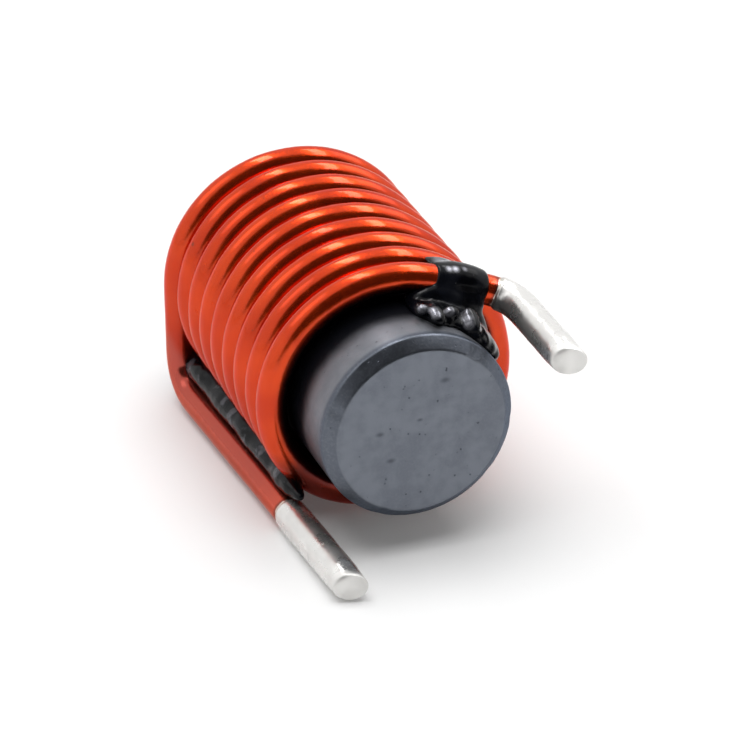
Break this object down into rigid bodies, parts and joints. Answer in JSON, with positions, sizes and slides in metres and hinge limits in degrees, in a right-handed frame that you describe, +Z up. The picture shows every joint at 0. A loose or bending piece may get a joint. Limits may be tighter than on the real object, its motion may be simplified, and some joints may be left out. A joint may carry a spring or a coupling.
{
  "type": "power inductor",
  "caption": "Rod-core power inductor: thick enamelled wire wound as an open helix round a bare ferrite rod, with both tinned ends bent forward as solder pins.",
  "frame": {"origin": "centre of the ferrite rod's front face, on the side that the pins point to", "axes": "+Y along the rod from the front face to the rear, +X to the right seen from the front, +Z up with the part lying on its coil and on its long lead"},
  "size_m": [0.0113, 0.0204, 0.011],
  "materials": {
    "ferrite": "ground sintered ferrite, matt blue-grey",
    "enamelled_wire": "glossy orange-red enamel over copper",
    "tin": "bright dipped tin, slightly uneven",
    "glue": "glossy black epoxy, run and set"
  },
  "bodies": {
    "root": {"ferrite_core": "ferrite", "winding": "enamelled_wire", "solder_long_pin": "tin", "solder_short_pin": "tin", "glue_front": "glue", "glue_side": "glue"}
  },
  "joints": []
}
